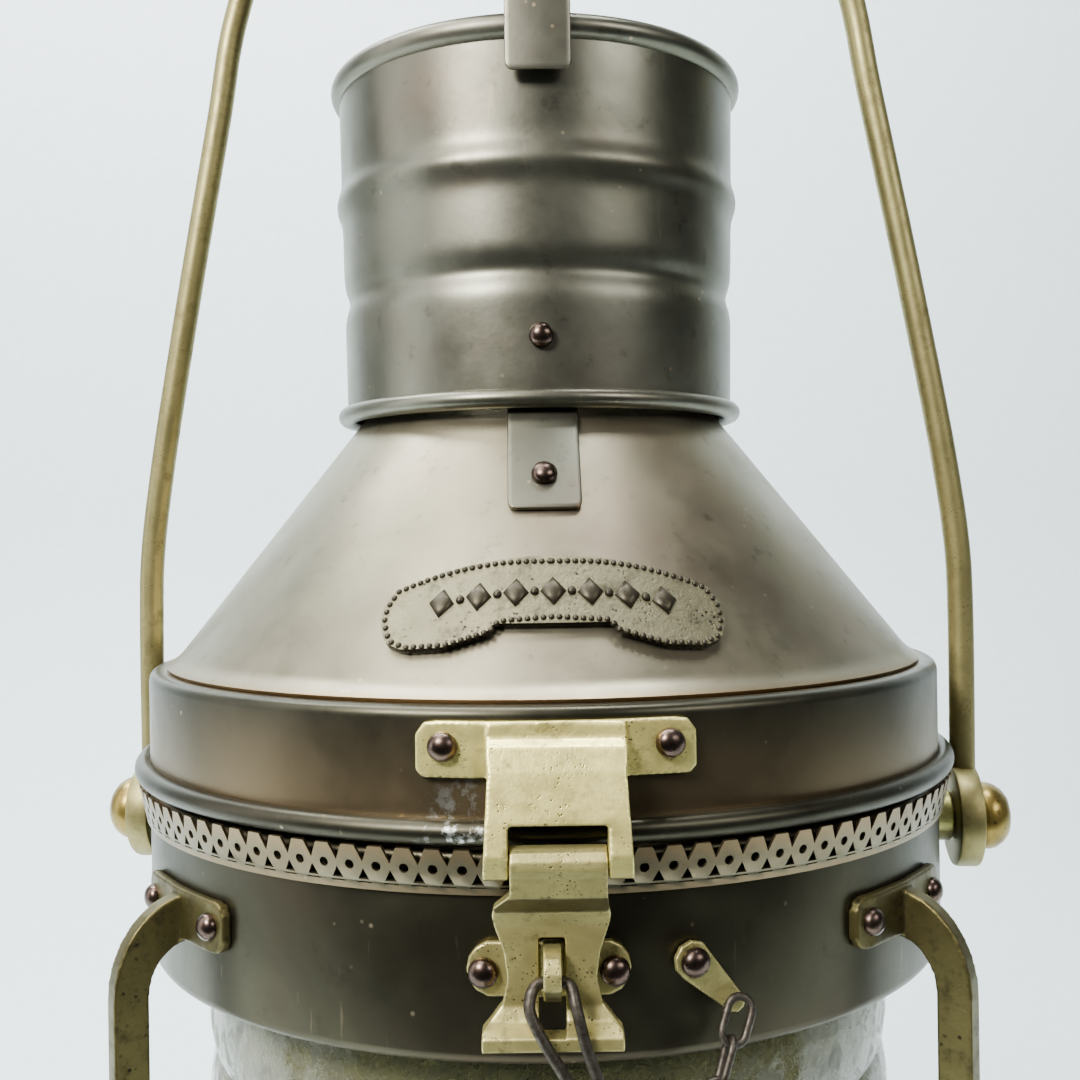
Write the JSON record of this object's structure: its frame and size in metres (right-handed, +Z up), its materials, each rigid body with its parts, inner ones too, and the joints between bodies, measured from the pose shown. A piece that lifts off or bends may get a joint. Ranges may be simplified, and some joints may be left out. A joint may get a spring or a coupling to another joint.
{
  "type": "ship lantern",
  "caption": "Round brass and bronze ship lantern with a ribbed glass lens, guard bars, hinged hood with cowl, hasp and lock chain, oil burner and swinging bail.",
  "frame": {"origin": "centre of the underside of the base", "axes": "+Z up the lantern, -Y towards the hasp, +X to its right"},
  "size_m": [0.297, 0.2795, 0.61],
  "materials": {
    "bronze": "dark aged sheet with scratches",
    "cast_brass": "worn pitted casting",
    "bail_brass": "handled bar",
    "rivet": "dark copper rivet",
    "steel": "dark weathered wire",
    "glass": "clear pressed glass, slightly green",
    "gasket": "aged seal",
    "wick": "flat woven cotton"
  },
  "bodies": {
    "body": {"base_tray": "bronze", "base_plate": "bronze", "lens": "glass", "lens_gasket_lower": "gasket", "lens_gasket_upper": "gasket", "drum": "bronze", "vent_gallery": "bronze", "guard_1": "cast_brass", "guard_2": "cast_brass", "guard_3": "cast_brass", "guard_4": "cast_brass", "trunnion_left": "cast_brass", "trunnion_right": "cast_brass", "trunnion_knob_left": "bail_brass", "trunnion_knob_right": "bail_brass", "drum_hinge_leaf": "cast_brass", "hinge_pin": "cast_brass", "staple": "cast_brass", "staple_rivet_left": "rivet", "staple_rivet_right": "rivet", "lock_wire": "steel", "chain_tab": "cast_brass", "chain_tab_rivet": "rivet", "chain": "steel"},
    "hood": {"hood_skirt": "bronze", "hood_cone": "bronze", "inner_flue": "bronze", "cowl": "bronze", "smoke_cap": "bronze", "nameplate": "cast_brass", "cowl_strap_1": "bronze", "cowl_strap_2": "bronze", "cowl_strap_3": "bronze", "cap_leg_1": "bronze", "cap_leg_2": "bronze", "cone_rivet_1": "rivet", "cone_rivet_2": "rivet", "cone_rivet_3": "rivet", "cowl_rivet_1": "rivet", "cowl_rivet_2": "rivet", "cowl_rivet_3": "rivet", "hood_hinge_leaf": "cast_brass", "hasp_leaf": "cast_brass", "hasp_pin": "cast_brass", "hasp_rivet_left": "rivet", "hasp_rivet_right": "rivet"},
    "hasp": {"hasp_flap": "cast_brass"},
    "bail": {"bail": "bail_brass"},
    "font": {"font": "cast_brass", "burner_collar": "cast_brass", "burner_cone": "cast_brass"},
    "filler_cap": {"filler_cap": "cast_brass"},
    "wick_knob": {"wick_knob": "cast_brass"},
    "wick": {"wick": "wick"}
  },
  "joints": [
    {"name": "hood_open", "type": "hinge", "parent": "body", "child": "hood", "pos_m": [0, 0.134, 0.252], "axis": [-1, 0, 0], "range_deg": [0, 18], "deforming": ["lock_wire"]},
    {"name": "hasp_swing", "type": "hinge", "parent": "hood", "child": "hasp", "pos_m": [0.0028, -0.1335, 0.2495], "axis": [-1, 0, 0], "range_deg": [0, 90], "deforming": ["lock_wire"]},
    {"name": "bail_swing", "type": "hinge", "parent": "body", "child": "bail", "pos_m": [0, 0, 0.2315], "axis": [0.9945, -0.1045, 0], "range_deg": [-110, 110]},
    {"name": "font_lift", "type": "slide", "parent": "body", "child": "font", "axis": [0, 0, 1], "range_m": [0, 0.1]},
    {"name": "filler_cap_turn", "type": "hinge", "parent": "font", "child": "filler_cap", "pos_m": [-0.042, 0, 0.052], "axis": [0, 0, 1], "continuous": true},
    {"name": "wick_knob_turn", "type": "hinge", "parent": "font", "child": "wick_knob", "pos_m": [0, 0, 0.06], "axis": [1, 0, 0], "range_deg": [0, 120]},
    {"name": "wick_raise", "type": "slide", "parent": "font", "child": "wick", "axis": [0, 0, 1], "range_m": [0, 0.008]}
  ],
  "couplings": [
    {"joint": "hasp_swing", "follows": "hood_open", "ratio": 5},
    {"joint": "wick_raise", "follows": "wick_knob_turn", "m_per_rad": 0.0038}
  ]
}
